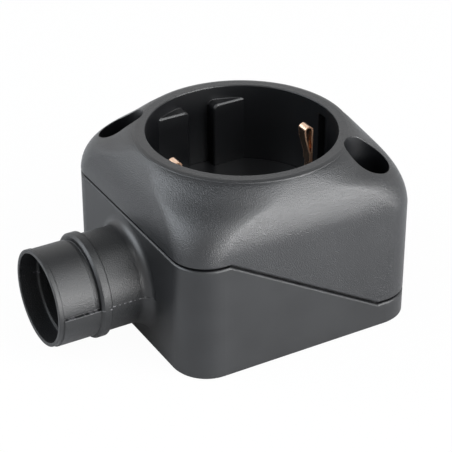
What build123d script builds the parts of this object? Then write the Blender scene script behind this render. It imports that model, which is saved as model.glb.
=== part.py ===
# Surface socket box: a round plug well with side earth clips, in a domed cover
# that meets its base along a stepped seam, and a conduit spigot on one side.
# Frame: origin on the mounting face, on the axis of the plug well, +Z out of the
# wall, the spigot on -X. Millimetres.
import os
from math import acos, atan2, cos, hypot, radians, sin, sqrt, tan

from build123d import *

os.makedirs("parts", exist_ok=True)

# Plug well, its collar and its guide lugs
well_r = 19.5
well_depth = 17.5
well_wall = 2.0
well_floor_t = 2.2
well_floor_clear = 0.1
well_edge = 0.15
collar_t = 2.7
collar_edge_run = 0.75
collar_edge_drop = 0.2
lug_flat_in = 2.9
lug_inner_x = 2.9
lug_below_rim = 3.0
lug_corner_r = 1.3
lug_edge = 0.3
lug_root = 0.5

# Housing: its side follows from the collar, its height from what it holds
body_margin = 4.3
body_corner_r = 7.5
wall = 2.2
floor_t = 2.5
foot_edge = 0.4

# Seam between base and cover in the front view: high, sloping down, low
seam_below_rim = 13.3
seam_low = 5.25
slope_start_run = 1.45
slope_end_run = 2.0
seam_gap = 0.5
seam_edge = 0.25
lip_t = 1.0
lip_height = 1.5
lip_clear = 0.15

# Dome: the middle of each side turns in on one arc, each corner on a smaller
# arc that runs out into a straight slope
dome_side_drop = 11.3
dome_side_tuck = 0.2
dome_corner_drop = 13.1
dome_corner_r = 9.8
dome_corner_tuck = 0.024
dome_under_rim = 0.3
dome_sections = 7
cavity_sections = 4

# Plug pins
pin_pitch = 19.0
pin_hole_r = 3.0
pin_lead = 0.4

# Earth contact: one bent strip with a sprung loop at each side of the well
earth_strip_t = 0.35
earth_strip_w = 2.4
earth_clear = 0.15
clip_stem_in = 3.3
clip_loop_r = 0.85
clip_below_rim = 3.2
clip_bulge_r = 8.0
clip_lean = 16.0
clip_tail_r = 3.0
clip_tail = 1.2
clip_tail_gap = 0.06
clip_bend_r = 0.8
clip_slot_w = 3.3
clip_slot_t = 1.5
clip_slot_below_rim = 2.3
clip_pad_t = 1.4
clip_pad_side = 1.6
earth_leg_gap = 0.65
earth_leg_lap = 2.4

# Cover screws, deep in wells on one diagonal, and mounting holes on the other
screw_in = 8.33
screw_well_r = 4.6
screw_well_wall = 1.3
screw_seat_z = 14.0
screw_seat_t = 2.0
screw_r = 2.0
screw_clear = 0.2
screw_length = 8.8
screw_head_r = 3.8
screw_head_t = 2.6
screw_slot_w = 0.9
screw_slot_t = 1.4
washer_r = 4.3
washer_t = 0.8
insert_r = 2.8
insert_length = 7.0
thread_clear = 0.05
boss_r = 4.5
mount_in = 7.0
mount_hole_r = 2.25
mount_boss_r = 3.9
mount_boss_t = 1.0

# Conduit spigot on the base, as large as the wall below the seam allows
spigot_foot = 2.23
spigot_head = 0.43
spigot_length = 19.9
spigot_root_r = 2.0
spigot_lower_root_r = 2.5
root_drop = 8.2
bead_t = 0.73
bead_w = 2.2
bead_edge = 0.5
bead_back_edge = 0.15
sleeve_t = 0.08
sleeve_w = 7.9
end_ring_in = 0.17
end_ring_w = 1.0
relief_t = 0.4
groove_t = 0.85
groove_w = 0.9
side_groove_h = 0.45
mouth_t = 0.92
mouth_depth = 4.0
tube_t = 1.47

# Contact carrier under the well, and its back plate
carrier_in = 0.5
carrier_t = 9.4
plate_t = 2.5
plate_gap = 0.35
pocket_clear = 0.15
post_r = 2.2
post_h = 4.2
post_side_x = 4.0
post_side_in = 5.0
post_end_in = 3.5
carrier_screw_in = 6.5
carrier_screw_y = 7.0
carrier_screw_r = 1.25
carrier_screw_head_r = 2.4
carrier_screw_head_t = 1.6
carrier_screw_length = 6.5
carrier_screw_spare = 0.5

# Sprung pin contacts
strip_t = 0.8
strip_w = 5.0
jaw_x = 2.75
jaw_pinch = 0.2
jaw_flare = 0.45
jaw_headroom = 1.0
jaw_knee_share = 0.55
jaw_pinch_share = 0.78
jaw_bend_r = 0.9
spring_t = 0.4
spring_z = 1.8
spring_h = 2.6
pocket_roof = 0.6

# Screw terminals, one for each contact
terminal_in = 8.5
terminal_w = 5.0
terminal_t = 4.0
terminal_screw_r = 1.5
terminal_head_r = 2.5
terminal_head_t = 1.8
terminal_slot_w = 0.7
terminal_slot_t = 0.8
terminal_hole_clear = 0.1
clamp_w = 5.6
clamp_t = 0.8
clamp_round = 0.6

# How near counts as the same place when edges are chosen
near = 0.01

# Levels and places that follow from the sizes above
collar_r = well_r + collar_t
half = collar_r + body_margin
body_side = 2 * half
plate_z = floor_t + post_h
carrier_z = plate_z + plate_t
carrier_top_z = carrier_z + carrier_t
well_floor_z = carrier_top_z + well_floor_t
body_height = well_floor_z + well_depth
inner_half = half - wall
inner_corner_r = body_corner_r - wall
corner_reach = (half - body_corner_r) * sqrt(2) + body_corner_r
seam_high = body_height - seam_below_rim
slope_start_x = body_corner_r + slope_start_run - half
slope_end_x = half - body_corner_r - slope_end_run
boss_top_z = screw_seat_z - screw_seat_t
skirt_top_z = seam_high + seam_gap + 2 * seam_edge
dome_top_z = body_height - dome_under_rim
well_outer_r = well_r + well_wall
lug_flat_y = well_r - lug_flat_in
lug_top_z = body_height - lug_below_rim
clip_stem_x = well_r - clip_stem_in
clip_slot_r = well_r + clip_slot_t
screw_at = half - screw_in
screw_places = [(screw_at, -screw_at), (-screw_at, screw_at)]
mount_at = half - mount_in
mount_places = [(mount_at, mount_at), (-mount_at, -mount_at)]
pin_y = pin_pitch / 2
pin_places = [(0, -pin_y), (0, pin_y)]
carrier_r = well_r - carrier_in
post_y = carrier_r - post_side_in
post_places = [(post_side_x, post_y), (post_side_x, -post_y), (carrier_r - post_end_in, 0)]
carrier_screw_x = carrier_r - carrier_screw_in
carrier_screw_places = [(carrier_screw_x, carrier_screw_y), (carrier_screw_x, -carrier_screw_y)]
terminal_x = terminal_in - carrier_r
earth_leg_x = terminal_x + terminal_w / 2 + earth_leg_gap + earth_strip_t / 2
plate_edge_x = earth_leg_x + earth_strip_t / 2 + plate_gap
spigot_tube_r = (seam_high - spigot_head - spigot_root_r - spigot_foot) / 2
spigot_z = spigot_foot + spigot_tube_r
bead_r = spigot_tube_r + bead_t
sleeve_r = spigot_tube_r + sleeve_t
end_ring_r = spigot_tube_r - end_ring_in
mouth_r = spigot_tube_r - mouth_t
bore_r = spigot_tube_r - tube_t
mouth_x = -half - spigot_length
sleeve_end_x = mouth_x + end_ring_w
bead_front_x = sleeve_end_x + sleeve_w
bead_back_x = bead_front_x + bead_w
spigot_axis = Axis((0, 0, spigot_z), (1, 0, 0))
jaw_outer_x = jaw_x + strip_t / 2
jaw_height = carrier_t - jaw_headroom
bridge_z = carrier_top_z - earth_clear - earth_strip_t / 2

# The side's arc ends under the collar's edge; the corner's slope leaves its arc
# at a tangent and ends there too
dome_side_start = body_height - dome_side_drop
dome_side_in = body_margin + dome_side_tuck
dome_side_rise = dome_top_z - dome_side_start
dome_side_r = (dome_side_in**2 + dome_side_rise**2) / (2 * dome_side_in)
dome_corner_start = body_height - dome_corner_drop
dome_corner_run = collar_r - dome_corner_tuck - corner_reach + dome_corner_r
dome_corner_rise = dome_top_z - dome_corner_start
dome_tangent = acos(dome_corner_r / hypot(dome_corner_run, dome_corner_rise))
dome_slope = dome_tangent + atan2(dome_corner_run, dome_corner_rise)


def side_at(level, inset):
    """Half the dome's width across its sides at a level, inset from its skin."""
    rise = max(level - dome_side_start, 0)
    return half - dome_side_r + sqrt((dome_side_r - inset) ** 2 - rise**2)


def diagonal_at(level, inset):
    """The dome's reach from the axis to a corner at a level, inset from its skin."""
    rise = max(level - dome_corner_start, 0)
    arc_r = dome_corner_r - inset
    arc_rise = arc_r * cos(dome_slope)
    if rise <= arc_rise:
        return corner_reach - dome_corner_r + sqrt(arc_r**2 - rise**2)
    arc_end = corner_reach - dome_corner_r + arc_r * sin(dome_slope)
    return arc_end - (rise - arc_rise) / tan(dome_slope)


def dome_outline(level, inset):
    """The rounded square of the dome at a level, added to the sketch in hand."""
    side = side_at(level, inset)
    corner = (side * sqrt(2) - diagonal_at(level, inset)) / (sqrt(2) - 1)
    RectangleRounded(2 * side, 2 * side, corner)


def below_seam(rise):
    """Front view of all below the seam raised by an amount, added to the sketch in hand."""
    Polygon(
        (-body_side, -floor_t),
        (body_side, -floor_t),
        (body_side, seam_low + rise),
        (slope_end_x, seam_low + rise),
        (slope_start_x, seam_high + rise),
        (-body_side, seam_high + rise),
        align=None,
    )


def seam_edges(part, rise):
    """The outer edges along the seam of a block that has been cut there."""
    faces = part.faces().filter_by(lambda face: abs(face.normal_at().Z) > 0.5)
    top = seam_high + rise + near
    faces = faces.filter_by(lambda face: seam_low + rise - near < face.center().Z < top)
    kinks = (slope_start_x, slope_end_x)
    edges = ShapeList()
    for edge in faces.edges():
        at_kink = any(abs(edge.center().X - x) < near for x in kinks)
        if not (at_kink and edge.geom_type == GeomType.LINE and abs(edge.tangent_at(0).Y) > 0.9):
            edges.append(edge)
    return edges


# Dome and collar above the cover's straight skirt
with BuildPart() as dome:
    with BuildSketch(Plane.XY.offset(skirt_top_z)):
        Circle(collar_r)
    collar_edge_z = body_height - collar_edge_drop
    extrude(amount=collar_edge_z - skirt_top_z)
    with Locations((0, 0, collar_edge_z)):
        rim_align = (Align.CENTER, Align.CENTER, Align.MIN)
        Cone(collar_r, collar_r - collar_edge_run, collar_edge_drop, align=rim_align)
    with BuildSketch(Plane.XY.offset(skirt_top_z)):
        RectangleRounded(body_side, body_side, body_corner_r)
    dome_step = (dome_top_z - skirt_top_z) / (dome_sections - 1)
    for index in range(1, dome_sections):
        with BuildSketch(Plane.XY.offset(skirt_top_z + index * dome_step)):
            dome_outline(skirt_top_z + index * dome_step, 0)
    loft()

# Outer form of the whole box, to which the cover's inner walls are trimmed
with BuildPart() as outer:
    with BuildSketch():
        RectangleRounded(body_side, body_side, body_corner_r)
    extrude(amount=skirt_top_z)
    add(dome.part)

# Room inside the cover, one wall in from its skin
cavity_reach = well_outer_r - half + dome_side_r
cavity_top_z = dome_side_start + sqrt((dome_side_r - wall) ** 2 - cavity_reach**2)
with BuildPart() as cavity:
    with BuildSketch(Plane.XY.offset(-floor_t)):
        RectangleRounded(2 * inner_half, 2 * inner_half, inner_corner_r)
    extrude(amount=floor_t + skirt_top_z)
    with BuildSketch(Plane.XY.offset(skirt_top_z)):
        RectangleRounded(2 * inner_half, 2 * inner_half, inner_corner_r)
    cavity_step = (cavity_top_z - skirt_top_z) / (cavity_sections - 1)
    for index in range(1, cavity_sections):
        with BuildSketch(Plane.XY.offset(skirt_top_z + index * cavity_step)):
            dome_outline(skirt_top_z + index * cavity_step, wall)
    loft(ruled=True)

# What stands inside the cover: the well's tube, slot pads and screw columns
with BuildPart() as core:
    with BuildSketch(Plane.XY.offset(carrier_top_z)):
        Circle(well_outer_r)
        pad_reach = clip_slot_r + clip_pad_t
        Rectangle(2 * pad_reach, clip_slot_w + 2 * clip_pad_side)
    extrude(amount=well_depth)
    with BuildSketch(Plane.XY.offset(boss_top_z)):
        with Locations(*screw_places):
            Circle(screw_well_r + screw_well_wall)
    extrude(amount=body_height - boss_top_z)
    add(outer.part, mode=Mode.INTERSECT)

# Tongue round the top of the base's wall, behind the seam
with BuildPart() as lip:
    with BuildSketch():
        lip_side = 2 * (inner_half + lip_t)
        RectangleRounded(lip_side, lip_side, inner_corner_r + lip_t)
        RectangleRounded(2 * inner_half, 2 * inner_half, inner_corner_r, mode=Mode.SUBTRACT)
    extrude(amount=seam_high + lip_height)
    with BuildSketch(Plane.XZ):
        below_seam(lip_height)
    extrude(amount=body_side, both=True, mode=Mode.INTERSECT)

# Rebate that the tongue fits in
with BuildPart() as rebate:
    with BuildSketch():
        rebate_side = 2 * (inner_half + lip_t + lip_clear)
        RectangleRounded(rebate_side, rebate_side, inner_corner_r + lip_t + lip_clear)
    extrude(amount=body_height)
    with BuildSketch(Plane.XZ):
        below_seam(lip_height + 2 * lip_clear)
    extrude(amount=body_side, both=True, mode=Mode.INTERSECT)

# Cover
with BuildPart() as cover:
    with BuildSketch():
        RectangleRounded(body_side, body_side, body_corner_r)
    extrude(amount=skirt_top_z)
    with BuildSketch(Plane.XZ):
        below_seam(seam_gap)
    extrude(amount=body_side, both=True, mode=Mode.SUBTRACT)
    chamfer(seam_edges(cover.part, seam_gap), seam_edge)
    add(dome.part)
    add(cavity.part, mode=Mode.SUBTRACT)
    add(rebate.part, mode=Mode.SUBTRACT)
    add(core.part)
    # Plug well, open below, where a floor plate closes it
    with BuildSketch(Plane.XY.offset(carrier_top_z)):
        Circle(well_r)
    extrude(amount=well_floor_t + well_depth, mode=Mode.SUBTRACT)
    chamfer(cover.edges().group_by(Axis.Z)[-1].sort_by(SortBy.RADIUS)[0], well_edge)
    # Guide lugs, two at each side, flat towards the plug, their feet on the floor plate
    with BuildSketch(Plane.XY.offset(well_floor_z)):
        lug_end_x = sqrt(well_r**2 - lug_flat_y**2) + lug_root
        lug_w = lug_end_x - lug_inner_x
        lug_h = well_outer_r - lug_flat_y
        with GridLocations(lug_inner_x + lug_end_x, 2 * lug_flat_y + lug_h, 2, 2):
            Rectangle(lug_w, lug_h)
        Circle(well_r + lug_root, mode=Mode.INTERSECT)
    extrude(amount=well_depth - lug_below_rim)
    lug_edges = cover.edges().filter_by_position(Axis.Z, lug_top_z - near, lug_top_z + near)
    fillet(lug_edges.filter_by(Axis.Y), lug_corner_r)
    lug_edges = cover.edges().filter_by_position(Axis.Z, lug_top_z - near, lug_top_z + near)
    chamfer(lug_edges.filter_by(Axis.X), lug_edge)
    # Slots for the earth clips
    with BuildSketch(Plane.XY.offset(carrier_top_z)):
        slot_inner_x = clip_stem_x - earth_strip_t / 2 - earth_clear - clip_bend_r
        slot_w = clip_slot_r - slot_inner_x
        with GridLocations(clip_slot_r + slot_inner_x, 0, 2, 1):
            Rectangle(slot_w, clip_slot_w)
    extrude(amount=body_height - clip_slot_below_rim - carrier_top_z, mode=Mode.SUBTRACT)
    # Wells and clearance holes for the cover screws
    with BuildSketch(Plane.XY.offset(screw_seat_z)):
        with Locations(*screw_places):
            Circle(screw_well_r)
    extrude(amount=body_height - screw_seat_z, mode=Mode.SUBTRACT)
    with BuildSketch(Plane.XY.offset(boss_top_z)):
        with Locations(*screw_places):
            Circle(screw_r + screw_clear)
    extrude(amount=screw_seat_t, mode=Mode.SUBTRACT)
cover.part.label = "cover"
export_step(cover.part, "parts/cover.step")

# Floor of the well with its pin apertures, held between the lugs' feet and the carrier
with BuildPart() as well_floor:
    with BuildSketch(Plane.XY.offset(carrier_top_z)):
        Circle(well_r - well_floor_clear)
        with GridLocations(clip_slot_r + slot_inner_x, 0, 2, 1):
            Rectangle(slot_w, clip_slot_w, mode=Mode.SUBTRACT)
        with Locations(*pin_places):
            Circle(pin_hole_r, mode=Mode.SUBTRACT)
    extrude(amount=well_floor_t)
    mouth_edges = well_floor.edges().group_by(Axis.Z)[-1].filter_by(GeomType.CIRCLE)
    chamfer(mouth_edges.filter_by(lambda edge: edge.radius < 2 * pin_hole_r), pin_lead)
well_floor.part.label = "well_floor"
export_step(well_floor.part, "parts/well_floor.step")

# Fillet where the spigot meets the wall, fuller below its middle, and gone at its foot
with BuildPart() as root:
    for root_r, side in ((spigot_root_r, 1), (spigot_lower_root_r, -1)):
        with BuildSketch(Plane.XY.offset(spigot_z)):
            with BuildLine():
                root_y = spigot_tube_r + root_r
                Polyline(
                    (-half - root_r, side * spigot_tube_r),
                    (-half - root_r, side * mouth_r),
                    (-inner_half, side * mouth_r),
                    (-inner_half, side * root_y),
                    (-half, side * root_y),
                )
                RadiusArc((-half, side * root_y), (-half - root_r, side * spigot_tube_r), side * root_r)
            make_face()
        revolve(axis=spigot_axis, revolution_arc=180)
    with BuildSketch(Plane.XY.offset(spigot_z - root_drop)):
        Rectangle(2 * body_side, body_side)
    extrude(amount=body_height, mode=Mode.INTERSECT)

# Base with its floor, bosses, posts and spigot
with BuildPart() as base:
    with BuildSketch():
        RectangleRounded(body_side, body_side, body_corner_r)
    extrude(amount=seam_high)
    with BuildSketch(Plane.XZ):
        below_seam(0)
    extrude(amount=body_side, both=True, mode=Mode.INTERSECT)
    chamfer(seam_edges(base.part, 0), seam_edge)
    chamfer(base.edges().group_by(Axis.Z)[0], foot_edge)
    with BuildSketch(Plane.XY.offset(floor_t)):
        RectangleRounded(2 * inner_half, 2 * inner_half, inner_corner_r)
    extrude(amount=seam_high, mode=Mode.SUBTRACT)
    add(lip.part)
    # Spigot, turned about its own axis
    with BuildSketch(Plane.XZ):
        with BuildLine():
            tube_top = spigot_z + spigot_tube_r
            bead_top = spigot_z + bead_r
            Polyline(
                (-inner_half, spigot_z),
                (-inner_half, tube_top),
                (bead_back_x, tube_top),
                (bead_back_x, bead_top - bead_back_edge),
                (bead_back_x - bead_back_edge, bead_top),
                (bead_front_x + bead_edge, bead_top),
                (bead_front_x, bead_top - bead_edge),
                (bead_front_x, spigot_z + sleeve_r),
                (sleeve_end_x, spigot_z + sleeve_r),
                (sleeve_end_x, spigot_z + end_ring_r),
                (mouth_x, spigot_z + end_ring_r),
                (mouth_x, spigot_z),
                (-inner_half, spigot_z),
            )
        make_face()
    revolve(axis=spigot_axis)
    add(root.part)
    # Upper half of the sleeve is set back, deepest beside the bead and at its ends
    with BuildSketch(Plane.XY.offset(spigot_z)):
        with Locations((sleeve_end_x, sleeve_r - relief_t)):
            Rectangle(sleeve_w, bead_r, align=(Align.MIN, Align.MIN))
        with Locations((bead_front_x - groove_w, sleeve_r - groove_t)):
            Rectangle(groove_w, bead_r, align=(Align.MIN, Align.MIN))
    revolve(axis=spigot_axis, revolution_arc=180, mode=Mode.SUBTRACT)
    with BuildSketch(Plane.XY.offset(spigot_z)):
        with Locations((sleeve_end_x, sleeve_r - groove_t), (sleeve_end_x, groove_t - sleeve_r - bead_r)):
            Rectangle(sleeve_w, bead_r, align=(Align.MIN, Align.MIN))
    extrude(amount=side_groove_h, mode=Mode.SUBTRACT)
    # Bore of the spigot, wider at the mouth
    with BuildSketch(Plane.YZ.offset(mouth_x)):
        with Locations((0, spigot_z)):
            Circle(mouth_r)
    extrude(amount=mouth_depth, mode=Mode.SUBTRACT)
    with BuildSketch(Plane.YZ.offset(mouth_x)):
        with Locations((0, spigot_z)):
            Circle(bore_r)
    extrude(amount=spigot_length + wall, mode=Mode.SUBTRACT)
    # Bosses under the cover's screw columns, and posts under the back plate
    with BuildSketch(Plane.XY.offset(floor_t)):
        with Locations(*screw_places):
            Circle(boss_r)
    extrude(amount=boss_top_z - floor_t)
    with BuildSketch(Plane.XY.offset(floor_t)):
        with Locations(*post_places):
            Circle(post_r)
    extrude(amount=plate_z - floor_t)
    with BuildSketch(Plane.XY.offset(boss_top_z - insert_length)):
        with Locations(*screw_places):
            Circle(insert_r)
    extrude(amount=insert_length, mode=Mode.SUBTRACT)
    # Mounting holes in raised rings
    with BuildSketch(Plane.XY.offset(floor_t)):
        with Locations(*mount_places):
            Circle(mount_boss_r)
    extrude(amount=mount_boss_t)
    with BuildSketch():
        with Locations(*mount_places):
            Circle(mount_hole_r)
    extrude(amount=floor_t + mount_boss_t, mode=Mode.SUBTRACT)
base.part.label = "base"
export_step(base.part, "parts/base.step")

# Contact carrier, pocketed from below for the contacts and their terminals
with BuildPart() as carrier:
    with BuildSketch(Plane.XY.offset(carrier_z)):
        Circle(carrier_r)
    extrude(amount=carrier_t)
    pocket_x = jaw_outer_x + spring_t + 2 * pocket_clear
    pocket_y = strip_w / 2 + spring_t + 2 * pocket_clear
    with BuildSketch(Plane.XY.offset(carrier_z)):
        with Locations(*pin_places):
            Rectangle(2 * pocket_x, 2 * pocket_y)
    extrude(amount=carrier_t - pocket_roof, mode=Mode.SUBTRACT)
    with BuildSketch(Plane.XY.offset(carrier_z)):
        with Locations(*pin_places):
            Circle(pin_hole_r + pocket_clear)
    extrude(amount=carrier_t, mode=Mode.SUBTRACT)
    # Recesses for the arms of the pin contacts and the foot of the earth strip
    arm_end_x = terminal_x - terminal_w / 2
    with BuildSketch(Plane.XY.offset(carrier_z)):
        with Locations(*[(arm_end_x - pocket_clear, y) for _, y in pin_places]):
            arm_length = -arm_end_x + pocket_clear
            Rectangle(arm_length, strip_w + 2 * pocket_clear, align=(Align.MIN, Align.CENTER))
    extrude(amount=strip_t, mode=Mode.SUBTRACT)
    with BuildSketch(Plane.XY.offset(carrier_z)):
        with Locations((arm_end_x - pocket_clear, 0)):
            foot_length = earth_leg_x + earth_strip_t / 2 - arm_end_x + 2 * pocket_clear
            Rectangle(foot_length, strip_w + 2 * pocket_clear, align=(Align.MIN, Align.CENTER))
    extrude(amount=earth_strip_t, mode=Mode.SUBTRACT)
    # Pockets for the terminal nuts
    nut_pocket_w = terminal_w + 2 * pocket_clear
    with BuildSketch(Plane.XY.offset(carrier_z)):
        with Locations(*[(terminal_x, y) for _, y in pin_places]):
            Rectangle(nut_pocket_w, nut_pocket_w)
    extrude(amount=strip_t + terminal_t, mode=Mode.SUBTRACT)
    with BuildSketch(Plane.XY.offset(carrier_z)):
        with Locations((terminal_x, 0)):
            Rectangle(nut_pocket_w, nut_pocket_w)
    extrude(amount=earth_strip_t + terminal_t, mode=Mode.SUBTRACT)
    # Groove across the top for the earth strip, and the slot for its leg
    groove_z = bridge_z - earth_strip_t / 2
    groove_x = clip_stem_x + earth_strip_t / 2 + earth_clear
    with BuildSketch(Plane.XY.offset(groove_z)):
        Rectangle(2 * groove_x, earth_strip_w + 2 * earth_clear)
    extrude(amount=carrier_top_z - groove_z, mode=Mode.SUBTRACT)
    with BuildSketch(Plane.XY.offset(carrier_z)):
        with Locations((earth_leg_x, 0)):
            leg_slot_t = earth_strip_t + 2 * earth_clear
            Rectangle(leg_slot_t + 2 * clip_bend_r, earth_strip_w + 2 * earth_clear)
    extrude(amount=carrier_t, mode=Mode.SUBTRACT)
    # Holes for the back plate's screws
    with BuildSketch(Plane.XY.offset(carrier_z)):
        with Locations(*carrier_screw_places):
            Circle(carrier_screw_r + thread_clear)
    grip = carrier_screw_length - plate_t + carrier_screw_head_t
    extrude(amount=grip + carrier_screw_spare, mode=Mode.SUBTRACT)
carrier.part.label = "contact_carrier"
export_step(carrier.part, "parts/contact_carrier.step")

# Back plate that closes the carrier behind the contacts, clear of the terminals
with BuildPart() as plate:
    with BuildSketch(Plane.XY.offset(plate_z)):
        Circle(carrier_r)
        with Locations((plate_edge_x, 0)):
            Rectangle(carrier_r, 2 * carrier_r, align=(Align.MAX, Align.CENTER), mode=Mode.SUBTRACT)
    extrude(amount=plate_t)
    with BuildSketch(Plane.XY.offset(plate_z)):
        with Locations(*carrier_screw_places):
            Circle(carrier_screw_head_r + screw_clear)
    extrude(amount=carrier_screw_head_t, mode=Mode.SUBTRACT)
    with BuildSketch(Plane.XY.offset(plate_z)):
        with Locations(*carrier_screw_places):
            Circle(carrier_screw_r + screw_clear)
    extrude(amount=plate_t, mode=Mode.SUBTRACT)
plate.part.label = "back_plate"
export_step(plate.part, "parts/back_plate.step")

# Screws that hold the back plate to the carrier
with BuildPart() as carrier_screws:
    with BuildSketch(Plane.XY.offset(plate_z)):
        with Locations(*carrier_screw_places):
            Circle(carrier_screw_head_r)
    extrude(amount=carrier_screw_head_t)
    with BuildSketch(Plane.XY.offset(plate_z)):
        with Locations(*carrier_screw_places):
            Circle(carrier_screw_r)
    extrude(amount=carrier_screw_head_t + carrier_screw_length)
    with BuildSketch(Plane.XY.offset(plate_z)):
        with Locations(*carrier_screw_places):
            Rectangle(2 * carrier_screw_head_r, terminal_slot_w)
    extrude(amount=terminal_slot_t, mode=Mode.SUBTRACT)
carrier_screws.part.label = "back_plate_screws"
export_step(carrier_screws.part, "parts/back_plate_screws.step")

# Pin contacts with their springs, terminals, clamp plates and screws
for name, pin_at in (("live", -pin_y), ("neutral", pin_y)):
    outward = -1 if pin_at < 0 else 1
    web_z = carrier_z + strip_t / 2
    with BuildPart() as contact:
        # Two jaws joined by a web, pinched in at the pin and flared at the top
        with BuildSketch(Plane.XZ.offset(-pin_at)):
            with BuildLine():
                jaw = [
                    (jaw_x, web_z),
                    (jaw_x, web_z + jaw_knee_share * jaw_height),
                    (jaw_x - jaw_pinch, web_z + jaw_pinch_share * jaw_height),
                    (jaw_x + jaw_flare, web_z + jaw_height - strip_t / 2),
                ]
                FilletPolyline(*[(-x, z) for x, z in reversed(jaw)], *jaw, radius=jaw_bend_r)
            trace(line_width=strip_t)
        extrude(amount=strip_w / 2, both=True)
        # Arm to the terminal
        with BuildSketch(Plane.XY.offset(carrier_z)):
            with Locations((arm_end_x, pin_at)):
                Rectangle(-arm_end_x, strip_w, align=(Align.MIN, Align.CENTER))
        extrude(amount=strip_t)
        with BuildSketch(Plane.XY.offset(carrier_z)):
            with Locations((terminal_x, pin_at)):
                Circle(terminal_screw_r + terminal_hole_clear)
        extrude(amount=strip_t, mode=Mode.SUBTRACT)
    contact.part.label = f"{name}_contact"
    export_step(contact.part, f"parts/{name}_contact.step")

    # Steel spring round the two jaws, closed at the outer side
    with BuildPart() as spring:
        with BuildSketch(Plane.XY.offset(carrier_z + spring_z)):
            spring_w = strip_w + spring_t
            with Locations((0, pin_at + outward * spring_t / 2)):
                Rectangle(2 * (jaw_outer_x + spring_t), spring_w)
            with Locations((0, pin_at)):
                Rectangle(2 * jaw_outer_x, strip_w, mode=Mode.SUBTRACT)
        extrude(amount=spring_h)
    spring.part.label = f"{name}_spring"
    export_step(spring.part, f"parts/{name}_spring.step")

for name, pin_at, seat_t in (
    ("live", -pin_y, strip_t),
    ("neutral", pin_y, strip_t),
    ("earth", 0, earth_strip_t),
):
    # Threaded block in the carrier, above the strip
    with BuildPart() as terminal:
        with BuildSketch(Plane.XY.offset(carrier_z + seat_t)):
            with Locations((terminal_x, pin_at)):
                Rectangle(terminal_w, terminal_w)
                Circle(terminal_screw_r + thread_clear, mode=Mode.SUBTRACT)
        extrude(amount=terminal_t)
    terminal.part.label = f"{name}_terminal"
    export_step(terminal.part, f"parts/{name}_terminal.step")

    # Plate that clamps the conductor to the strip
    with BuildPart() as clamp:
        with BuildSketch(Plane.XY.offset(carrier_z - clamp_t)):
            with Locations((terminal_x, pin_at)):
                RectangleRounded(clamp_w, clamp_w, clamp_round)
                Circle(terminal_screw_r + terminal_hole_clear, mode=Mode.SUBTRACT)
        extrude(amount=clamp_t)
    clamp.part.label = f"{name}_clamp_plate"
    export_step(clamp.part, f"parts/{name}_clamp_plate.step")

    # Slotted screw, driven from below
    with BuildPart() as terminal_screw:
        head_z = carrier_z - clamp_t - terminal_head_t
        with BuildSketch(Plane.XY.offset(head_z)):
            with Locations((terminal_x, pin_at)):
                Circle(terminal_head_r)
        extrude(amount=terminal_head_t)
        with BuildSketch(Plane.XY.offset(head_z)):
            with Locations((terminal_x, pin_at)):
                Circle(terminal_screw_r)
        extrude(amount=terminal_head_t + clamp_t + seat_t + terminal_t)
        with BuildSketch(Plane.XY.offset(head_z)):
            with Locations((terminal_x, pin_at)):
                Rectangle(2 * terminal_head_r, terminal_slot_w)
        extrude(amount=terminal_slot_t, mode=Mode.SUBTRACT)
    terminal_screw.part.label = f"{name}_terminal_screw"
    export_step(terminal_screw.part, f"parts/{name}_terminal_screw.step")

# Earth contact: a strip across the carrier that rises through the well's floor
# at both ends and folds back on itself into a sprung loop
loop_x = clip_stem_x - clip_loop_r
loop_z = body_height - clip_below_rim - clip_loop_r - earth_strip_t / 2
lean = radians(clip_lean)
bulge_x = loop_x - clip_loop_r
tail_x = clip_stem_x - earth_strip_t - clip_tail_gap
bulge_end = (bulge_x + clip_bulge_r * (1 - cos(lean)), loop_z - clip_bulge_r * sin(lean))
tail_start_x = tail_x - clip_tail_r * (1 - cos(lean))
tail_start_z = bulge_end[1] - (tail_start_x - bulge_end[0]) / tan(lean)
tail_end_z = tail_start_z - clip_tail_r * sin(lean)
with BuildPart() as earth:
    for side in (1, -1):
        with BuildSketch(Plane.XZ):
            with BuildLine():
                bend_z = bridge_z + clip_bend_r
                bend_x = clip_stem_x - clip_bend_r
                Line((0, bridge_z), (side * bend_x, bridge_z))
                JernArc((side * bend_x, bridge_z), (side, 0), clip_bend_r, side * 90)
                Line((side * clip_stem_x, bend_z), (side * clip_stem_x, loop_z))
                JernArc((side * clip_stem_x, loop_z), (0, 1), clip_loop_r, side * 180)
                JernArc((side * bulge_x, loop_z), (0, -1), clip_bulge_r, side * clip_lean)
                Line((side * bulge_end[0], bulge_end[1]), (side * tail_start_x, tail_start_z))
                JernArc(
                    (side * tail_start_x, tail_start_z),
                    (side * sin(lean), -cos(lean)),
                    clip_tail_r,
                    -side * clip_lean,
                )
                Line((side * tail_x, tail_end_z), (side * tail_x, tail_end_z - clip_tail))
            trace(line_width=earth_strip_t)
        extrude(amount=earth_strip_w / 2, both=True)
    # Leg down to the terminal, and its foot
    with BuildSketch(Plane.XZ):
        with BuildLine():
            foot_z = carrier_z + earth_strip_t / 2
            FilletPolyline(
                (earth_leg_x + earth_leg_lap, bridge_z),
                (earth_leg_x, bridge_z),
                (earth_leg_x, foot_z),
                (arm_end_x, foot_z),
                radius=clip_bend_r,
            )
        trace(line_width=earth_strip_t)
    extrude(amount=earth_strip_w / 2, both=True)
    with BuildSketch(Plane.XY.offset(carrier_z)):
        with Locations((terminal_x, 0)):
            Rectangle(terminal_w, strip_w)
    extrude(amount=earth_strip_t)
    with BuildSketch(Plane.XY.offset(carrier_z)):
        with Locations((terminal_x, 0)):
            Circle(terminal_screw_r + terminal_hole_clear)
    extrude(amount=earth_strip_t, mode=Mode.SUBTRACT)
earth.part.label = "earth_contact"
export_step(earth.part, "parts/earth_contact.step")

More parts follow.
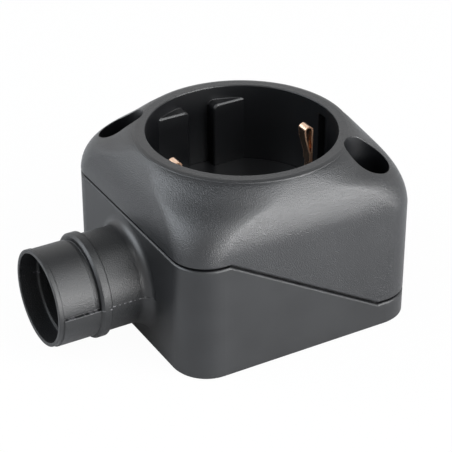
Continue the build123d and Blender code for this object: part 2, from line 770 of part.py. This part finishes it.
# Cover screws at the bottom of their wells
with BuildPart() as cover_screws:
    head_z = screw_seat_z + washer_t
    with BuildSketch(Plane.XY.offset(head_z)):
        with Locations(*screw_places):
            Circle(screw_head_r)
    extrude(amount=screw_head_t)
    with BuildSketch(Plane.XY.offset(head_z)):
        with Locations(*screw_places):
            Circle(screw_r)
    extrude(amount=-screw_length)
    with BuildSketch(Plane.XY.offset(head_z + screw_head_t)):
        with Locations(*screw_places):
            Rectangle(screw_head_r, screw_slot_w)
            Rectangle(screw_slot_w, screw_head_r)
    extrude(amount=-screw_slot_t, mode=Mode.SUBTRACT)
cover_screws.part.label = "cover_screws"
export_step(cover_screws.part, "parts/cover_screws.step")

with BuildPart() as washers:
    with BuildSketch(Plane.XY.offset(screw_seat_z)):
        with Locations(*screw_places):
            Circle(washer_r)
            Circle(screw_r + screw_clear, mode=Mode.SUBTRACT)
    extrude(amount=washer_t)
washers.part.label = "cover_screw_washers"
export_step(washers.part, "parts/cover_screw_washers.step")

# Threaded brass inserts in the base's bosses
with BuildPart() as inserts:
    with BuildSketch(Plane.XY.offset(boss_top_z - insert_length)):
        with Locations(*screw_places):
            Circle(insert_r)
            Circle(screw_r + thread_clear, mode=Mode.SUBTRACT)
    extrude(amount=insert_length)
inserts.part.label = "threaded_inserts"
export_step(inserts.part, "parts/threaded_inserts.step")
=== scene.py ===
"""Looks of an earthed socket box: its finishes, a plain studio and the camera.

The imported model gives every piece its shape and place. This script dresses those
pieces, stands them on a pale floor under soft light and sets the camera.
"""
import logging
import math
from dataclasses import dataclass, field
from enum import Enum
from typing import Any, Optional, Union

import bpy
from mathutils import Matrix, Vector

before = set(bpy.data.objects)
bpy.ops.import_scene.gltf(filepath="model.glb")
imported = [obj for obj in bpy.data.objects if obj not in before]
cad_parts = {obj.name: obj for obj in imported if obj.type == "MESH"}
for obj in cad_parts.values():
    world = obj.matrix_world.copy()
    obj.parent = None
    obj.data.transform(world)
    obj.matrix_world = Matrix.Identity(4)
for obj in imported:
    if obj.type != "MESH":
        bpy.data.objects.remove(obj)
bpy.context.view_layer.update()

log = logging.getLogger("socket_box")

MM = 0.001
NOISE_MEAN = 0.5
EDGE_SAMPLES = 6

Colour = tuple[float, float, float]
Point = tuple[float, float, float]
Levels = tuple[float, float]
Operand = Union["Value", float]
Tint = Union[Colour, bpy.types.NodeSocket]


class Value:
    """A number that varies over a surface, held by the socket of a shader node."""

    def __init__(self, graph: "Graph", socket: bpy.types.NodeSocket) -> None:
        """Wrap a socket.

        Args:
            graph: The node graph that the socket belongs to.
            socket: The output socket that carries the number.
        """
        self.graph = graph
        self.socket = socket

    def _math(self, operation: str, first: Operand, second: Operand) -> "Value":
        """Add a Math node for an expression on two numbers.

        Args:
            operation: The Math node's operation.
            first: Left-hand number.
            second: Right-hand number.

        Returns:
            The result as a new value.
        """
        node = self.graph.node("ShaderNodeMath", {"operation": operation}, {0: first, 1: second})
        return Value(self.graph, node.outputs[0])

    def __add__(self, other: Operand) -> "Value":
        """Sum of two numbers."""
        return self._math("ADD", self, other)

    def __radd__(self, other: Operand) -> "Value":
        """Sum with a plain number on the left."""
        return self._math("ADD", other, self)

    def __sub__(self, other: Operand) -> "Value":
        """Difference of two numbers."""
        return self._math("SUBTRACT", self, other)

    def __rsub__(self, other: Operand) -> "Value":
        """Difference from a plain number on the left."""
        return self._math("SUBTRACT", other, self)

    def __mul__(self, other: Operand) -> "Value":
        """Product of two numbers."""
        return self._math("MULTIPLY", self, other)

    def __rmul__(self, other: Operand) -> "Value":
        """Product with a plain number on the left."""
        return self._math("MULTIPLY", other, self)

    def __truediv__(self, other: Operand) -> "Value":
        """Quotient of two numbers."""
        return self._math("DIVIDE", self, other)

    def __abs__(self) -> "Value":
        """Size of the number without its sign."""
        return self._math("ABSOLUTE", self, 0.0)

    def ramp(self, low: float, high: float) -> "Value":
        """Smooth step from 0 at one level to 1 at another.

        Args:
            low: Level that gives 0.
            high: Level that gives 1.

        Returns:
            The stepped value.
        """
        node = self.graph.node(
            "ShaderNodeMapRange",
            {"interpolation_type": "SMOOTHSTEP"},
            {"Value": self, "From Min": low, "From Max": high},
        )
        return Value(self.graph, node.outputs["Result"])


class Graph:
    """The node graph of one material, with a Principled shader at its end."""

    def __init__(self, name: str) -> None:
        """Start a material with a single Principled shader.

        Args:
            name: Name of the material.
        """
        self.material: Optional[bpy.types.Material] = bpy.data.materials.new(name)
        self.material.use_nodes = True
        self.tree: bpy.types.NodeTree = self.material.node_tree
        self.shader: bpy.types.Node = self.tree.nodes["Principled BSDF"]

    @classmethod
    def of_tree(cls, tree: bpy.types.NodeTree, shader: str) -> "Graph":
        """Wrap a node tree that exists, such as the world's.

        Args:
            tree: The node tree.
            shader: Name of the node at its end.

        Returns:
            The wrapped graph.
        """
        graph = cls.__new__(cls)
        graph.material = None
        graph.tree = tree
        graph.shader = tree.nodes[shader]
        return graph

    def node(
        self, kind: str, settings: dict[str, Any], inputs: dict[Union[str, int], Any]
    ) -> bpy.types.Node:
        """Add a node, set it up and join its inputs.

        Args:
            kind: The node's type.
            settings: Properties of the node, set before its inputs.
            inputs: A number, colour, Value or socket for each input by name or place.

        Returns:
            The new node.
        """
        node = self.tree.nodes.new(kind)
        for key, setting in settings.items():
            setattr(node, key, setting)
        for key, given in inputs.items():
            self.feed(node.inputs[key], given)
        return node

    def feed(self, socket: bpy.types.NodeSocket, given: Any) -> None:
        """Set an input to a constant, or link it to what varies.

        Args:
            socket: The input socket.
            given: A constant, a Value or an output socket.
        """
        if isinstance(given, Value):
            self.tree.links.new(given.socket, socket)
        elif isinstance(given, bpy.types.NodeSocket):
            self.tree.links.new(given, socket)
        else:
            socket.default_value = given

    def rays(self, *kinds: str) -> Value:
        """Mark the rays of some kinds.

        Args:
            kinds: Kinds of ray, such as Camera or Glossy.

        Returns:
            1 for a ray of those kinds and 0 for any other.
        """
        path = self.node("ShaderNodeLightPath", {}, {})
        first, *others = (Value(self, path.outputs[f"Is {kind} Ray"]) for kind in kinds)
        return sum(others, first)

    def place(self) -> bpy.types.NodeSocket:
        """Position on the piece in the shared frame, in metres."""
        return self.node("ShaderNodeTexCoord", {}, {}).outputs["Object"]

    def along(self, axis: str) -> Value:
        """Position along one axis of the shared frame, in metres.

        Args:
            axis: X, Y or Z.

        Returns:
            The coordinate.
        """
        parts = self.node("ShaderNodeSeparateXYZ", {}, {"Vector": self.place()})
        return Value(self, parts.outputs[axis])

    def stretched(self, scale: Point) -> bpy.types.NodeSocket:
        """Position on the piece, stretched along the axes.

        Args:
            scale: Factor along each axis.

        Returns:
            The stretched position.
        """
        inputs = {"Vector": self.place(), "Scale": scale}
        return self.node("ShaderNodeMapping", {}, inputs).outputs["Vector"]

    def noise(
        self, size: float, detail: float = 2.0, place: Optional[bpy.types.NodeSocket] = None
    ) -> Value:
        """Soft noise with features of about a given size.

        Args:
            size: Size of the features in metres.
            detail: Octaves of finer noise.
            place: Position to read, the plain position if left out.

        Returns:
            Noise around 0.5.
        """
        inputs = {"Vector": place or self.place(), "Scale": 1 / size, "Detail": detail}
        return Value(self, self.node("ShaderNodeTexNoise", {}, inputs).outputs["Fac"])

    def pits(self, size: float) -> Value:
        """Distance to the nearest of many scattered points, for a grained skin.

        Args:
            size: Distance between the points in metres.

        Returns:
            0 at a point, rising to about 1 between points.
        """
        inputs = {"Vector": self.place(), "Scale": 1 / size}
        return Value(self, self.node("ShaderNodeTexVoronoi", {}, inputs).outputs["Distance"])

    def blend(self, share: Operand, low: Tint, high: Tint) -> bpy.types.NodeSocket:
        """Mix two colours.

        Args:
            share: How much of the second colour shows, from 0 to 1.
            low: First colour, plain or the socket of one that varies.
            high: Second colour, likewise.

        Returns:
            The mixed colour.
        """
        mix = self.node("ShaderNodeMix", {"data_type": "RGBA"}, {"Factor": share})
        sockets = {socket.identifier: socket for socket in mix.inputs}
        for name, tint in (("A_Color", low), ("B_Color", high)):
            plain = isinstance(tint, tuple)
            self.feed(sockets[name], (*tint, 1.0) if plain else tint)
        return next(socket for socket in mix.outputs if socket.identifier == "Result_Color")

    def relief(self, height: Value, edge_radius: float = 0.0) -> None:
        """Feed a bump into the shader's normal.

        Args:
            height: Height of the skin in millimetres.
            edge_radius: Radius in metres that the moulded edges show, none if 0.
        """
        bump = self.node("ShaderNodeBump", {}, {"Height": height, "Distance": MM, "Strength": 1.0})
        if edge_radius:
            soft = self.node("ShaderNodeBevel", {"samples": EDGE_SAMPLES}, {"Radius": edge_radius})
            self.feed(bump.inputs["Normal"], soft.outputs["Normal"])
        self.feed(self.shader.inputs["Normal"], bump.outputs["Normal"])

    def surface(self, **inputs: Any) -> bpy.types.Material:
        """Feed the shader's own inputs.

        Args:
            inputs: A constant, Value or socket for each input, with _ for a space.

        Returns:
            The finished material.
        """
        names = {socket.name.lower().replace(" ", "_"): socket for socket in self.shader.inputs}
        for key, given in inputs.items():
            self.feed(names[key], given)
        return self.material


@dataclass(frozen=True)
class GrainedPlastic:
    """Moulded black plastic with a fine spark-eroded grain.

    Lengths are in metres, and the heights of the skin in millimetres.
    """

    name: str
    colour: Colour
    paler: Colour
    roughness: float
    gloss: float
    grain: float
    grain_height: float
    edge_radius: float
    pit_share: float = 0.6
    fine_share: float = 0.55
    fine_detail: float = 3.0
    fine_roughness: float = 0.12
    cloud: float = 9 * MM
    cloud_levels: Levels = (0.3, 0.7)
    cloud_share: float = 0.5
    cloud_roughness: float = 0.06

    def skin(self, graph: Graph, fine: Value) -> Value:
        """Height of the skin over the moulding.

        Args:
            graph: The material's graph.
            fine: The fine part of the grain, around 0.5.

        Returns:
            The height in millimetres.
        """
        pits = self.pit_share * graph.pits(self.grain)
        return self.grain_height * (pits + (1 - self.pit_share) * fine)

    def shade(self, graph: Graph, share: Value) -> Value:
        """How much of the paler colour shows.

        Args:
            graph: The material's graph.
            share: The share that the mottling gives.

        Returns:
            The share from 0 to 1.
        """
        return share

    def colouring(self, graph: Graph, mottling: Value) -> bpy.types.NodeSocket:
        """Colour of the skin.

        Args:
            graph: The material's graph.
            mottling: The mottling's share, from 0 to 1.

        Returns:
            The colour's socket.
        """
        return graph.blend(self.shade(graph, mottling), self.colour, self.paler)

    def bluntness(self, graph: Graph) -> Operand:
        """Roughness of the skin before its mottling.

        Args:
            graph: The material's graph.

        Returns:
            The roughness.
        """
        return self.roughness

    def material(self) -> bpy.types.Material:
        """Build the finish.

        Returns:
            Its material.
        """
        graph = Graph(self.name)
        fine = graph.noise(self.grain * self.fine_share, detail=self.fine_detail)
        cloud = graph.noise(self.cloud)
        clouded = cloud.ramp(*self.cloud_levels) * self.cloud_share
        mottling = clouded + fine * (1 - self.cloud_share)
        unevenness = (fine - NOISE_MEAN) * self.fine_roughness
        haze = (cloud - NOISE_MEAN) * self.cloud_roughness
        graph.relief(self.skin(graph, fine), self.edge_radius)
        return graph.surface(
            base_color=self.colouring(graph, mottling),
            roughness=self.bluntness(graph) + unevenness + haze,
            specular_ior_level=self.gloss,
        )


@dataclass(frozen=True)
class CoverPlastic(GrainedPlastic):
    """Plastic that is grained outside and smooth in the wells, whose colour is darkened there to
    deep black as painted shade.
    """

    well_r: float = 19.5 * MM
    screw_well_r: float = 4.6 * MM
    screw_well_at: float = 18.17 * MM
    well_edge: Levels = (0.02 * MM, 0.1 * MM)
    well_roughness: float = 0.35
    well_grain: float = 0.08
    mottled_share: float = 0.4

    def outside(self, graph: Graph) -> Value:
        """Mark what lies outside the plug well and the two screw wells.

        Args:
            graph: The material's graph.

        Returns:
            0 in a well and 1 outside them all.
        """
        x, y = graph.along("X"), graph.along("Y")
        off_plug = x * x + y * y
        # The screw wells stand on one diagonal, so one distance serves both
        along, across = abs(x - y) - 2 * self.screw_well_at, x + y
        off_screw = (along * along + across * across) / 2
        return self._beyond(off_plug, self.well_r) * self._beyond(off_screw, self.screw_well_r)

    def _beyond(self, squared: Value, radius: float) -> Value:
        """Mark what lies beyond a well's wall.

        Args:
            squared: Squared distance from the well's axis, in square metres.
            radius: The well's radius in metres.

        Returns:
            0 in the well and 1 outside it.
        """
        inner, outer = (radius + step for step in self.well_edge)
        return squared.ramp(inner**2, outer**2)

    def skin(self, graph: Graph, fine: Value) -> Value:
        """Height of the skin: grained outside and nearly smooth in the wells.

        Args:
            graph: The material's graph.
            fine: The fine part of the grain, around 0.5.

        Returns:
            The height in millimetres.
        """
        depth = self.well_grain + (1 - self.well_grain) * self.outside(graph)
        return super().skin(graph, fine) * depth

    def shade(self, graph: Graph, share: Value) -> Value:
        """Painted shade that darkens the wells to deep black, and a mottled haze on the grain
        outside.

        Args:
            graph: The material's graph.
            share: The share that the mottling gives.

        Returns:
            The share from 0 to 1.
        """
        # painted shade: inside the wells only the dark colour shows, outside it mixes towards
        # paler
        return (1 - self.mottled_share + self.mottled_share * share) * self.outside(graph)

    def bluntness(self, graph: Graph) -> Operand:
        """Roughness of the grained skin and of the smooth wells.

        Args:
            graph: The material's graph.

        Returns:
            The roughness.
        """
        return self.well_roughness + (self.roughness - self.well_roughness) * self.outside(graph)


@dataclass(frozen=True)
class SpigotPlastic(GrainedPlastic):
    """Satin plastic whose spigot has a grained skin and the mould's parting line."""

    wall_x: float = -26.8 * MM
    root_w: float = 3.0 * MM
    spigot_grain: float = 0.25 * MM
    spigot_grain_height: float = 0.038
    spigot_roughness: float = 0.45
    parting_z: float = 12.4 * MM
    parting_w: float = 0.22 * MM
    parting_height: float = 0.05
    dash: float = 0.7 * MM
    dash_along: Point = (1.0, 0.05, 0.05)
    dash_levels: Levels = (0.48, 0.60)
    # colour of the painted highlight on the parting ridge, and of the real scuffs
    painted_highlight_and_scuff: Colour = (0.10, 0.10, 0.106)
    scuff: float = 2.0 * MM
    scuff_along: Point = (0.25, 0.25, 1.6)
    scuff_detail: float = 4.0
    scuff_levels: Levels = (0.70, 0.80)
    scuff_share: float = 0.25

    def on_spigot(self, graph: Graph) -> Value:
        """Mark what stands out of the box's wall.

        Args:
            graph: The material's graph.

        Returns:
            0 on the box and 1 on the spigot.
        """
        return 1 - graph.along("X").ramp(self.wall_x - self.root_w, self.wall_x)

    def flash(self, graph: Graph) -> Value:
        """Mark the broken ridge that the mould's parting leaves along the spigot.

        Args:
            graph: The material's graph.

        Returns:
            1 on the ridge and 0 beside it.
        """
        off_line = abs(graph.along("Z") - self.parting_z)
        dashes = graph.noise(self.dash, place=graph.stretched(self.dash_along))
        broken = dashes.ramp(*self.dash_levels)
        return (1 - off_line.ramp(0.0, self.parting_w)) * broken * self.on_spigot(graph)

    def colouring(self, graph: Graph, mottling: Value) -> bpy.types.NodeSocket:
        """Colour of the skin, with a painted highlight on the ridge and fine pale scuffs.

        Args:
            graph: The material's graph.
            mottling: The mottling's share, from 0 to 1.

        Returns:
            The colour's socket.
        """
        place = graph.stretched(self.scuff_along)
        streaks = graph.noise(self.scuff, detail=self.scuff_detail, place=place)
        # painted highlight along the parting ridge, plus real pale scuffs
        ridge_highlight_and_scuffs = self.flash(graph) + self.scuff_share * streaks.ramp(*self.scuff_levels)
        return graph.blend(ridge_highlight_and_scuffs, super().colouring(graph, mottling), self.painted_highlight_and_scuff)

    def shade(self, graph: Graph, share: Value) -> Value:
        """Painted shade on the spigot, which keeps the plain dark colour without the mottling.

        Args:
            graph: The material's graph.
            share: The share that the mottling gives.

        Returns:
            The share from 0 to 1.
        """
        # painted shade: the spigot keeps the darker colour, the box mixes towards paler
        return share * (1 - self.on_spigot(graph))

    def bluntness(self, graph: Graph) -> Operand:
        """Roughness of the smooth box and of the blunter spigot.

        Args:
            graph: The material's graph.

        Returns:
            The roughness.
        """
        return self.roughness + (self.spigot_roughness - self.roughness) * self.on_spigot(graph)

    def skin(self, graph: Graph, fine: Value) -> Value:
        """Height of the skin: smooth on the box, grained on the spigot.

        Args:
            graph: The material's graph.
            fine: The fine part of the grain, around 0.5.

        Returns:
            The height in millimetres.
        """
        grained = self.spigot_grain_height * graph.pits(self.spigot_grain) * self.on_spigot(graph)
        return super().skin(graph, fine) + grained + self.parting_height * self.flash(graph)


@dataclass(frozen=True)
class RolledMetal:
    """Strip or turned metal with a faint rolling grain and some tarnish.

    Lengths are in metres, and the height of the grain in millimetres.
    """

    name: str
    colour: Colour
    tarnish: Colour
    roughness: float
    grain_along: Point
    grain: float = 0.35 * MM
    grain_detail: float = 3.0
    grain_height: float = 0.0035
    grain_roughness: float = 0.12
    stain: float = 3.0 * MM
    tarnish_levels: Levels = (0.42, 0.78)
    stain_levels: Levels = (0.5, 0.8)
    stain_roughness: float = 0.08
    edge_radius: float = 0.0
    edge_mattness: float = 0.5
    edge_roughness: float = 0.3

    def edge(self, graph: Graph) -> Operand:
        """Mark the cut edges, which this finish leaves as bright as the rest.

        Args:
            graph: The material's graph.

        Returns:
            0 on the bright metal, rising to 1 on a matt edge.
        """
        return 0.0

    def material(self) -> bpy.types.Material:
        """Build the finish.

        Returns:
            Its material.
        """
        graph = Graph(self.name)
        place = graph.stretched(self.grain_along)
        grain = graph.noise(self.grain, detail=self.grain_detail, place=place)
        stain = graph.noise(self.stain)
        edge = self.edge(graph)
        tarnished = stain.ramp(*self.tarnish_levels) + edge
        unevenness = (grain - NOISE_MEAN) * self.grain_roughness
        dulled = stain.ramp(*self.stain_levels) * self.stain_roughness
        graph.relief(self.grain_height * grain, self.edge_radius)
        return graph.surface(
            base_color=graph.blend(tarnished, self.colour, self.tarnish),
            metallic=1 - self.edge_mattness * edge,
            roughness=self.roughness + unevenness + dulled + self.edge_roughness * edge,
        )


@dataclass(frozen=True)
class ShearedStrip(RolledMetal):
    """Rolled strip whose two sheared edges are matt and scatter the light."""

    half_w: float = 1.2 * MM
    edge_in: Levels = (0.05 * MM, 0.01 * MM)

    def edge(self, graph: Graph) -> Operand:
        """Mark the sheared edges along both sides of the strip.

        Args:
            graph: The material's graph.

        Returns:
            0 on the bright metal, rising to 1 on a matt edge.
        """
        inner, outer = (self.half_w - step for step in self.edge_in)
        return abs(graph.along("Y")).ramp(inner, outer)


class Finish(Enum):
    """The finishes of the box's pieces."""

    COVER = CoverPlastic(
        "cover_grain",
        # colour is the wells' painted shade; outside the wells the mottling mixes most of the way
        # to paler
        colour=(0.0036, 0.0039, 0.0047),
        paler=(0.0118, 0.0124, 0.0138),
        roughness=0.31,
        gloss=0.58,
        grain=0.22 * MM,
        grain_height=0.085,
        edge_radius=0.25 * MM,
    )
    BASE = SpigotPlastic(
        "base_satin",
        # colour shows alone on the spigot as painted shade, and mixes with paler on the box
        colour=(0.0045, 0.0048, 0.0055),
        paler=(0.0110, 0.0116, 0.0128),
        roughness=0.41,
        gloss=0.56,
        grain=0.30 * MM,
        grain_height=0.004,
        edge_radius=0.35 * MM,
    )
    CARRIER = GrainedPlastic(
        "carrier_moulding",
        colour=(0.0045, 0.0046, 0.0052),
        paler=(0.0066, 0.0068, 0.0076),
        roughness=0.38,
        gloss=0.42,
        grain=0.35 * MM,
        grain_height=0.004,
        edge_radius=0.2 * MM,
    )
    EARTH = ShearedStrip(
        "earth_strip",
        colour=(0.88, 0.62, 0.46),
        tarnish=(0.66, 0.40, 0.26),
        roughness=0.24,
        grain_along=(1, 1, 0.12),
        edge_radius=0.08 * MM,
    )
    BRASS = RolledMetal(
        "contact_brass",
        colour=(0.80, 0.60, 0.30),
        tarnish=(0.55, 0.38, 0.17),
        roughness=0.30,
        grain_along=(1, 0.15, 1),
    )
    SPRING = RolledMetal(
        "spring_steel",
        colour=(0.50, 0.50, 0.52),
        tarnish=(0.34, 0.33, 0.33),
        roughness=0.32,
        grain_along=(1, 0.2, 1),
    )
    PLATED = RolledMetal(
        "plated_steel",
        colour=(0.62, 0.63, 0.65),
        tarnish=(0.48, 0.48, 0.47),
        roughness=0.28,
        grain_along=(1, 1, 0.3),
    )


@dataclass
class Assembly:
    """A group of CAD nodes that share how they are dressed."""

    finishes: dict[str, Finish] = field(default_factory=dict)

    def dress(self, materials: dict[Finish, bpy.types.Material]) -> None:
        """Give each node its finish.

        Args:
            materials: The material of each finish.
        """
        for node, finish in self.finishes.items():
            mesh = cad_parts[node].data
            mesh.materials.clear()
            mesh.materials.append(materials[finish])
            log.info("%s dressed as %s", node, finish.name.lower())


@dataclass
class Housing(Assembly):
    """The two mouldings that enclose the contacts."""

    finishes: dict[str, Finish] = field(
        default_factory=lambda: {"cover": Finish.COVER, "base": Finish.BASE}
    )


@dataclass
class Insert(Assembly):
    """The well's floor, and the insulating carrier with its back plate and screws."""

    finishes: dict[str, Finish] = field(
        default_factory=lambda: {
            "well_floor": Finish.CARRIER,
            "contact_carrier": Finish.CARRIER,
            "back_plate": Finish.CARRIER,
            "back_plate_screws": Finish.PLATED,
        }
    )


@dataclass
class Contacts(Assembly):
    """The strips and springs that meet the plug."""

    finishes: dict[str, Finish] = field(
        default_factory=lambda: {
            "earth_contact": Finish.EARTH,
            "live_contact": Finish.BRASS,
            "neutral_contact": Finish.BRASS,
            "live_spring": Finish.SPRING,
            "neutral_spring": Finish.SPRING,
        }
    )


@dataclass
class Terminals(Assembly):
    """The three screw terminals."""

    finishes: dict[str, Finish] = field(
        default_factory=lambda: {
            f"{pole}_{piece}": finish
            for pole in ("live", "neutral", "earth")
            for piece, finish in (
                ("terminal", Finish.BRASS),
                ("clamp_plate", Finish.PLATED),
                ("terminal_screw", Finish.PLATED),
            )
        }
    )


@dataclass
class Fasteners(Assembly):
    """What holds the cover to the base."""

    finishes: dict[str, Finish] = field(
        default_factory=lambda: {
            "cover_screws": Finish.PLATED,
            "cover_screw_washers": Finish.PLATED,
            "threaded_inserts": Finish.BRASS,
        }
    )


@dataclass
class Softbox:
    """A rectangular studio lamp that faces a point on the object."""

    name: str
    place: Point
    size: tuple[float, float]
    power: float
    target: Point = (0.0, 0.0, 0.02)
    colour: Colour = (1.0, 1.0, 1.0)

    def build(self) -> None:
        """Add the lamp and turn it to its target."""
        lamp = bpy.data.lights.new(self.name, "AREA")
        lamp.shape = "RECTANGLE"
        lamp.size, lamp.size_y = self.size
        lamp.energy = self.power
        lamp.color = self.colour
        thing = bpy.data.objects.new(self.name, lamp)
        bpy.context.scene.collection.objects.link(thing)
        thing.location = self.place
        aim = Vector(self.target) - Vector(self.place)
        thing.rotation_euler = aim.to_track_quat("-Z", "Y").to_euler()


@dataclass
class Studio:
    """Pale floor, white surroundings and soft lamps."""

    floor_half: float = 3.0
    floor_drop: float = 0.05 * MM
    floor_colour: Colour = (0.70, 0.70, 0.71)
    floor_roughness: float = 0.9
    floor_gloss: float = 0.1
    floor_glow: float = 0.97
    floor_gleam: float = 0.1
    world_light: float = 0.25
    ceiling_light: float = 0.17
    ceiling_levels: Levels = (0.58, 0.92)
    lamps: tuple[Softbox, ...] = (
        Softbox("lamp_low", (0.36, -0.81, 0.08), (0.9, 0.22), 12.9),
        Softbox("lamp_right", (0.34, -0.65, 0.55), (0.65, 0.5), 7.2, colour=(0.97, 0.99, 1.0)),
        Softbox("lamp_left", (-0.66, 0.29, 0.50), (0.8, 0.6), 7.8, colour=(0.88, 0.94, 1.0)),
        Softbox("lamp_top", (0.10, -0.32, 0.84), (0.5, 0.4), 2.6, colour=(0.97, 0.99, 1.0)),
    )

    def build(self) -> None:
        """Build the floor, the surroundings and the lamps."""
        self._floor()
        self._surroundings()
        for lamp in self.lamps:
            lamp.build()
            log.info("%s set", lamp.name)

    def _floor(self) -> None:
        """Lay a pale floor that shows white to the camera and keeps the shadow."""
        bpy.ops.object.select_all(action="DESELECT")
        bpy.ops.mesh.primitive_plane_add(
            size=2 * self.floor_half, location=(0, 0, -self.floor_drop)
        )
        floor = bpy.context.object
        floor.name = "floor"
        graph = Graph("pale_floor")
        material = graph.surface(
            base_color=(*self.floor_colour, 1.0),
            roughness=self.floor_roughness,
            specular_ior_level=self.floor_gloss,
        )
        mirrored = graph.rays("Glossy", "Transmission") * self.floor_gleam
        share = graph.rays("Camera") * self.floor_glow + mirrored
        white = graph.node("ShaderNodeEmission", {}, {"Strength": 1.0})
        mix = graph.node(
            "ShaderNodeMixShader",
            {},
            {0: share, 1: graph.shader.outputs["BSDF"], 2: white.outputs["Emission"]},
        )
        graph.feed(graph.tree.nodes["Material Output"].inputs["Surface"], mix.outputs["Shader"])
        floor.data.materials.append(material)

    def _surroundings(self) -> None:
        """Surround the object with white near the floor and a dim ceiling.

        The camera, gloss and glass see the white; the ceiling's dimness leaves the
        modelling to the lamps.
        """
        world = bpy.data.worlds.new("studio")
        world.use_nodes = True
        bpy.context.scene.world = world
        graph = Graph.of_tree(world.node_tree, "Background")
        seen = graph.rays("Camera", "Glossy", "Transmission")
        direction = graph.node("ShaderNodeTexCoord", {}, {}).outputs["Generated"]
        parts = graph.node("ShaderNodeSeparateXYZ", {}, {"Vector": direction})
        height = Value(graph, parts.outputs["Z"])
        unseen = 1 - graph.rays("Camera")
        ceiling = height.ramp(*self.ceiling_levels) * unseen
        level = self.world_light + seen * (1 - self.world_light)
        dimming = 1 - ceiling * (1 - self.ceiling_light)
        graph.surface(color=(1.0, 1.0, 1.0, 1.0), strength=level * dimming)


@dataclass
class PhotoCamera:
    """The camera, at the place and angle that the photograph was taken from."""

    place: Point = (-159.65 * MM, -272.96 * MM, 204.51 * MM)
    azimuth: float = -29.748
    elevation: float = 30.895
    focal_pixels: float = 1770.8
    frame_pixels: float = 452.0
    sensor: float = 36.0
    clip_start: float = 10 * MM

    def build(self) -> None:
        """Add the camera and make it the scene's own."""
        turn, rise = math.radians(self.azimuth), math.radians(self.elevation)
        back = Vector(
            (math.sin(turn) * math.cos(rise), -math.cos(turn) * math.cos(rise), math.sin(rise))
        )
        right = Vector((math.cos(turn), math.sin(turn), 0.0))
        up = back.cross(right)
        data = bpy.data.cameras.new("photo_camera")
        data.sensor_width = self.sensor
        data.lens = self.focal_pixels / self.frame_pixels * self.sensor
        data.clip_start = self.clip_start
        camera = bpy.data.objects.new("photo_camera", data)
        bpy.context.scene.collection.objects.link(camera)
        turned = Matrix((right, up, back)).transposed().to_4x4()
        camera.matrix_world = Matrix.Translation(self.place) @ turned
        bpy.context.scene.camera = camera


def main() -> None:
    """Dress the box, build the studio and set the camera."""
    logging.basicConfig(level=logging.INFO, format="%(message)s")
    bpy.context.scene.view_settings.view_transform = "Standard"
    materials = {finish: finish.value.material() for finish in Finish}
    for assembly in (Housing(), Insert(), Contacts(), Terminals(), Fasteners()):
        assembly.dress(materials)
    Studio().build()
    PhotoCamera().build()


if __name__ == "__main__":
    main()
